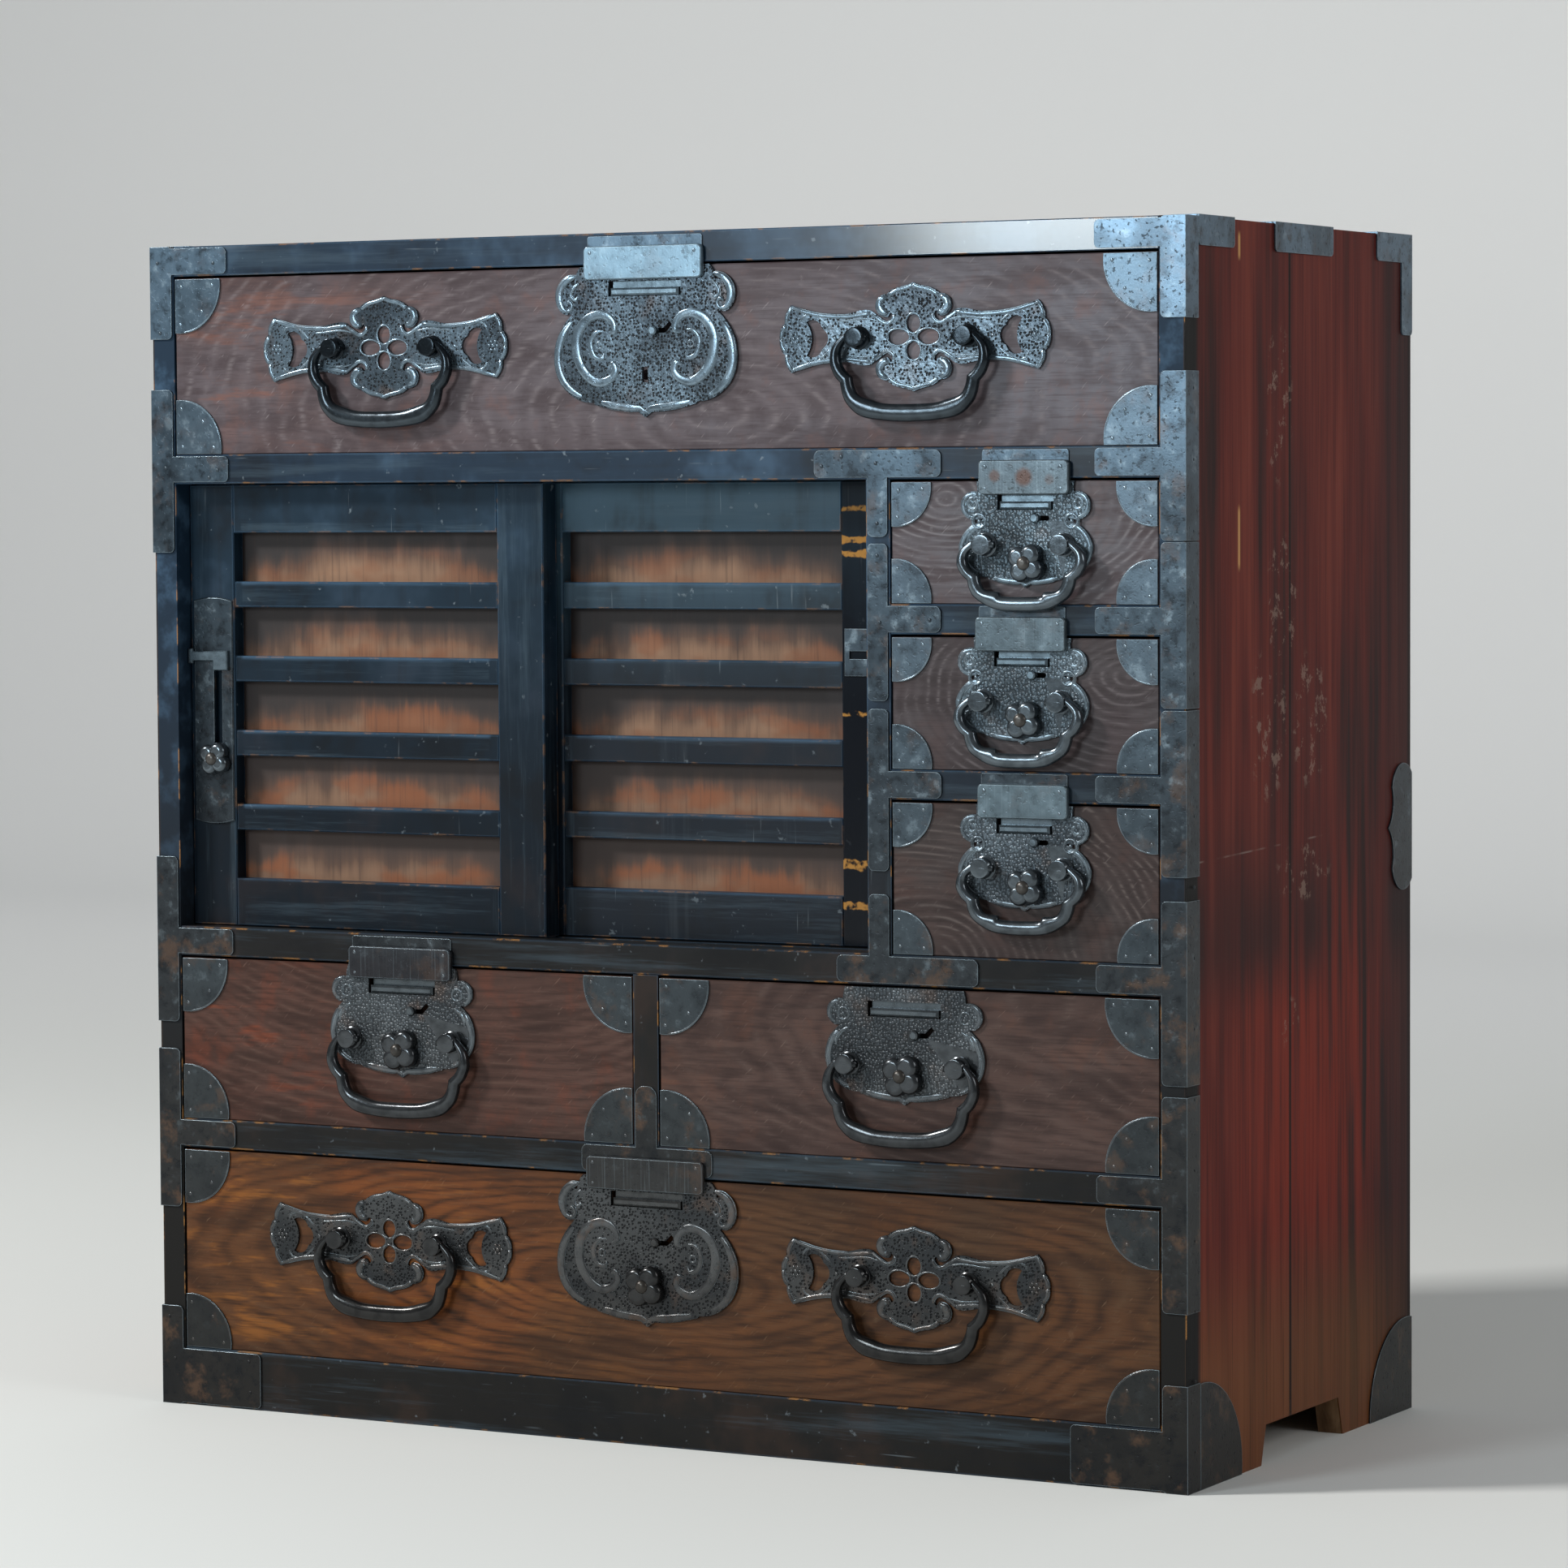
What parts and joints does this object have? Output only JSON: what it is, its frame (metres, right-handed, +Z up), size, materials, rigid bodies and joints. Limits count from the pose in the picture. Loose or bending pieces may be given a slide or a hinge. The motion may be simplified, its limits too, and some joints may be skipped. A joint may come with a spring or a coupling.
{
  "type": "clothing chest",
  "caption": "Wide, shallow wooden clothing chest with black iron fittings: full-width drawers, paired drawers and a cupboard with sliding doors beside small drawers.",
  "frame": {"origin": "on the floor, below the middle of the chest's box with its fittings", "axes": "+Z up, +X to the right of a person facing the front, +Y from the front to the back; the front faces -Y"},
  "size_m": [0.913, 0.443, 0.9365],
  "materials": {
    "zelkova_lacquer": "figured zelkova under dark red-brown lacquer, satin",
    "cedar_lacquer": "straight-grained cedar, worn dark red stain",
    "black_lacquer": "black lacquer, satin, worn brown at its edges",
    "door_field": "thin brown boards, worn and matt",
    "plain_wood": "plain pale softwood, unfinished",
    "iron": "black hammered iron, satin, slightly rusted"
  },
  "bodies": {
    "carcass": {"side_panel_left": "cedar_lacquer", "side_panel_right": "cedar_lacquer", "top_board": "cedar_lacquer", "base_boards": "black_lacquer", "back_boards": "plain_wood", "front_rails": "black_lacquer", "dust_boards": "plain_wood", "partitions": "black_lacquer", "frame_irons": "iron"},
    "drawer_top": {"drawer_top": "zelkova_lacquer", "drawer_top_iron": "iron"},
    "drawer_top_bolt": {"drawer_top_bolt": "iron"},
    "drawer_top_catch": {"drawer_top_catch": "iron"},
    "drawer_top_handle_left": {"drawer_top_handle_left": "iron"},
    "drawer_top_handle_right": {"drawer_top_handle_right": "iron"},
    "drawer_small_high": {"drawer_small_high": "zelkova_lacquer", "drawer_small_high_iron": "iron"},
    "drawer_small_high_bolt": {"drawer_small_high_bolt": "iron"},
    "drawer_small_high_catch": {"drawer_small_high_catch": "iron"},
    "drawer_small_high_knob": {"drawer_small_high_knob": "iron"},
    "drawer_small_high_handle": {"drawer_small_high_handle": "iron"},
    "drawer_small_middle": {"drawer_small_middle": "zelkova_lacquer", "drawer_small_middle_iron": "iron"},
    "drawer_small_middle_bolt": {"drawer_small_middle_bolt": "iron"},
    "drawer_small_middle_catch": {"drawer_small_middle_catch": "iron"},
    "drawer_small_middle_knob": {"drawer_small_middle_knob": "iron"},
    "drawer_small_middle_handle": {"drawer_small_middle_handle": "iron"},
    "drawer_small_low": {"drawer_small_low": "zelkova_lacquer", "drawer_small_low_iron": "iron"},
    "drawer_small_low_bolt": {"drawer_small_low_bolt": "iron"},
    "drawer_small_low_catch": {"drawer_small_low_catch": "iron"},
    "drawer_small_low_knob": {"drawer_small_low_knob": "iron"},
    "drawer_small_low_handle": {"drawer_small_low_handle": "iron"},
    "drawer_middle_left": {"drawer_middle_left": "zelkova_lacquer", "drawer_middle_left_iron": "iron"},
    "drawer_middle_left_bolt": {"drawer_middle_left_bolt": "iron"},
    "drawer_middle_left_catch": {"drawer_middle_left_catch": "iron"},
    "drawer_middle_left_knob": {"drawer_middle_left_knob": "iron"},
    "drawer_middle_left_handle": {"drawer_middle_left_handle": "iron"},
    "drawer_middle_right": {"drawer_middle_right": "zelkova_lacquer", "drawer_middle_right_iron": "iron"},
    "drawer_middle_right_bolt": {"drawer_middle_right_bolt": "iron"},
    "drawer_middle_right_catch": {"drawer_middle_right_catch": "iron"},
    "drawer_middle_right_knob": {"drawer_middle_right_knob": "iron"},
    "drawer_middle_right_handle": {"drawer_middle_right_handle": "iron"},
    "drawer_bottom": {"drawer_bottom": "zelkova_lacquer", "drawer_bottom_iron": "iron"},
    "drawer_bottom_bolt": {"drawer_bottom_bolt": "iron"},
    "drawer_bottom_catch": {"drawer_bottom_catch": "iron"},
    "drawer_bottom_knob": {"drawer_bottom_knob": "iron"},
    "drawer_bottom_handle_left": {"drawer_bottom_handle_left": "iron"},
    "drawer_bottom_handle_right": {"drawer_bottom_handle_right": "iron"},
    "door_left": {"door_left_frame": "black_lacquer", "door_left_panel": "door_field", "door_lock_plate": "iron"},
    "door_right": {"door_right_frame": "black_lacquer", "door_right_panel": "door_field", "door_strike_plate": "iron"},
    "door_latch": {"door_latch": "iron"},
    "door_knob": {"door_knob": "iron"}
  },
  "joints": [
    {"name": "drawer_top_slide", "type": "slide", "parent": "carcass", "child": "drawer_top", "axis": [0, -1, 0], "range_m": [0, 0.33]},
    {"name": "drawer_top_bolt_lift", "type": "slide", "parent": "drawer_top", "child": "drawer_top_bolt", "axis": [0, 0, 1], "range_m": [0, 0.005]},
    {"name": "drawer_top_catch_slide", "type": "slide", "parent": "drawer_top", "child": "drawer_top_catch", "axis": [1, 0, 0], "range_m": [0, 0.01]},
    {"name": "drawer_top_handle_left_swing", "type": "hinge", "parent": "drawer_top", "child": "drawer_top_handle_left", "pos_m": [-0.234, -0.2161, 0.85085], "axis": [-1, 0, 0], "range_deg": [0, 90]},
    {"name": "drawer_top_handle_right_swing", "type": "hinge", "parent": "drawer_top", "child": "drawer_top_handle_right", "pos_m": [0.234, -0.2161, 0.85085], "axis": [-1, 0, 0], "range_deg": [0, 90]},
    {"name": "drawer_small_high_slide", "type": "slide", "parent": "carcass", "child": "drawer_small_high", "axis": [0, -1, 0], "range_m": [0, 0.33]},
    {"name": "drawer_small_high_bolt_lift", "type": "slide", "parent": "drawer_small_high", "child": "drawer_small_high_bolt", "axis": [0, 0, 1], "range_m": [0, 0.005]},
    {"name": "drawer_small_high_catch_slide", "type": "slide", "parent": "drawer_small_high", "child": "drawer_small_high_catch", "axis": [1, 0, 0], "range_m": [0, 0.01]},
    {"name": "drawer_small_high_knob_turn", "type": "hinge", "parent": "drawer_small_high", "child": "drawer_small_high_knob", "pos_m": [0.32875, -0.2097, 0.6827], "axis": [0, -1, 0], "range_deg": [0, 90]},
    {"name": "drawer_small_high_handle_swing", "type": "hinge", "parent": "drawer_small_high", "child": "drawer_small_high_handle", "pos_m": [0.32625, -0.2163, 0.6962], "axis": [-1, 0, 0], "range_deg": [0, 90]},
    {"name": "drawer_small_middle_slide", "type": "slide", "parent": "carcass", "child": "drawer_small_middle", "axis": [0, -1, 0], "range_m": [0, 0.33]},
    {"name": "drawer_small_middle_bolt_lift", "type": "slide", "parent": "drawer_small_middle", "child": "drawer_small_middle_bolt", "axis": [0, 0, 1], "range_m": [0, 0.005]},
    {"name": "drawer_small_middle_catch_slide", "type": "slide", "parent": "drawer_small_middle", "child": "drawer_small_middle_catch", "axis": [1, 0, 0], "range_m": [0, 0.01]},
    {"name": "drawer_small_middle_knob_turn", "type": "hinge", "parent": "drawer_small_middle", "child": "drawer_small_middle_knob", "pos_m": [0.32565, -0.2097, 0.56695], "axis": [0, -1, 0], "range_deg": [0, 90]},
    {"name": "drawer_small_middle_handle_swing", "type": "hinge", "parent": "drawer_small_middle", "child": "drawer_small_middle_handle", "pos_m": [0.32315, -0.2163, 0.58045], "axis": [-1, 0, 0], "range_deg": [0, 90]},
    {"name": "drawer_small_low_slide", "type": "slide", "parent": "carcass", "child": "drawer_small_low", "axis": [0, -1, 0], "range_m": [0, 0.33]},
    {"name": "drawer_small_low_bolt_lift", "type": "slide", "parent": "drawer_small_low", "child": "drawer_small_low_bolt", "axis": [0, 0, 1], "range_m": [0, 0.005]},
    {"name": "drawer_small_low_catch_slide", "type": "slide", "parent": "drawer_small_low", "child": "drawer_small_low_catch", "axis": [1, 0, 0], "range_m": [0, 0.01]},
    {"name": "drawer_small_low_knob_turn", "type": "hinge", "parent": "drawer_small_low", "child": "drawer_small_low_knob", "pos_m": [0.32705, -0.2097, 0.4432], "axis": [0, -1, 0], "range_deg": [0, 90]},
    {"name": "drawer_small_low_handle_swing", "type": "hinge", "parent": "drawer_small_low", "child": "drawer_small_low_handle", "pos_m": [0.32455, -0.2163, 0.4567], "axis": [-1, 0, 0], "range_deg": [0, 90]},
    {"name": "drawer_middle_left_slide", "type": "slide", "parent": "carcass", "child": "drawer_middle_left", "axis": [0, -1, 0], "range_m": [0, 0.33]},
    {"name": "drawer_middle_left_bolt_lift", "type": "slide", "parent": "drawer_middle_left", "child": "drawer_middle_left_bolt", "axis": [0, 0, 1], "range_m": [0, 0.005]},
    {"name": "drawer_middle_left_catch_slide", "type": "slide", "parent": "drawer_middle_left", "child": "drawer_middle_left_catch", "axis": [1, 0, 0], "range_m": [0, 0.01]},
    {"name": "drawer_middle_left_knob_turn", "type": "hinge", "parent": "drawer_middle_left", "child": "drawer_middle_left_knob", "pos_m": [-0.22305, -0.2097, 0.2982], "axis": [0, -1, 0], "range_deg": [0, 90]},
    {"name": "drawer_middle_left_handle_swing", "type": "hinge", "parent": "drawer_middle_left", "child": "drawer_middle_left_handle", "pos_m": [-0.22305, -0.2163, 0.3057], "axis": [-1, 0, 0], "range_deg": [0, 90]},
    {"name": "drawer_middle_right_slide", "type": "slide", "parent": "carcass", "child": "drawer_middle_right", "axis": [0, -1, 0], "range_m": [0, 0.33]},
    {"name": "drawer_middle_right_bolt_lift", "type": "slide", "parent": "drawer_middle_right", "child": "drawer_middle_right_bolt", "axis": [0, 0, 1], "range_m": [0, 0.005]},
    {"name": "drawer_middle_right_catch_slide", "type": "slide", "parent": "drawer_middle_right", "child": "drawer_middle_right_catch", "axis": [1, 0, 0], "range_m": [0, 0.01]},
    {"name": "drawer_middle_right_knob_turn", "type": "hinge", "parent": "drawer_middle_right", "child": "drawer_middle_right_knob", "pos_m": [0.22375, -0.2097, 0.2982], "axis": [0, -1, 0], "range_deg": [0, 90]},
    {"name": "drawer_middle_right_handle_swing", "type": "hinge", "parent": "drawer_middle_right", "child": "drawer_middle_right_handle", "pos_m": [0.22375, -0.2163, 0.3057], "axis": [-1, 0, 0], "range_deg": [0, 90]},
    {"name": "drawer_bottom_slide", "type": "slide", "parent": "carcass", "child": "drawer_bottom", "axis": [0, -1, 0], "range_m": [0, 0.33]},
    {"name": "drawer_bottom_bolt_lift", "type": "slide", "parent": "drawer_bottom", "child": "drawer_bottom_bolt", "axis": [0, 0, 1], "range_m": [0, 0.005]},
    {"name": "drawer_bottom_catch_slide", "type": "slide", "parent": "drawer_bottom", "child": "drawer_bottom_catch", "axis": [1, 0, 0], "range_m": [0, 0.01]},
    {"name": "drawer_bottom_knob_turn", "type": "hinge", "parent": "drawer_bottom", "child": "drawer_bottom_knob", "pos_m": [-0.0008, -0.2097, 0.1252], "axis": [0, -1, 0], "range_deg": [0, 90]},
    {"name": "drawer_bottom_handle_left_swing", "type": "hinge", "parent": "drawer_bottom", "child": "drawer_bottom_handle_left", "pos_m": [-0.237, -0.2161, 0.1446], "axis": [-1, 0, 0], "range_deg": [0, 90]},
    {"name": "drawer_bottom_handle_right_swing", "type": "hinge", "parent": "drawer_bottom", "child": "drawer_bottom_handle_right", "pos_m": [0.231, -0.2161, 0.1446], "axis": [-1, 0, 0], "range_deg": [0, 90]},
    {"name": "door_left_slide", "type": "slide", "parent": "carcass", "child": "door_left", "axis": [1, 0, 0], "range_m": [0, 0.293]},
    {"name": "door_right_slide", "type": "slide", "parent": "carcass", "child": "door_right", "axis": [-1, 0, 0], "range_m": [0, 0.293]},
    {"name": "door_latch_slide", "type": "slide", "parent": "door_left", "child": "door_latch", "axis": [0, 0, 1], "range_m": [-0.03, 0]},
    {"name": "door_knob_turn", "type": "hinge", "parent": "door_left", "child": "door_knob", "pos_m": [-0.4084, -0.1923, 0.524], "axis": [0, -1, 0], "range_deg": [0, 90]}
  ]
}
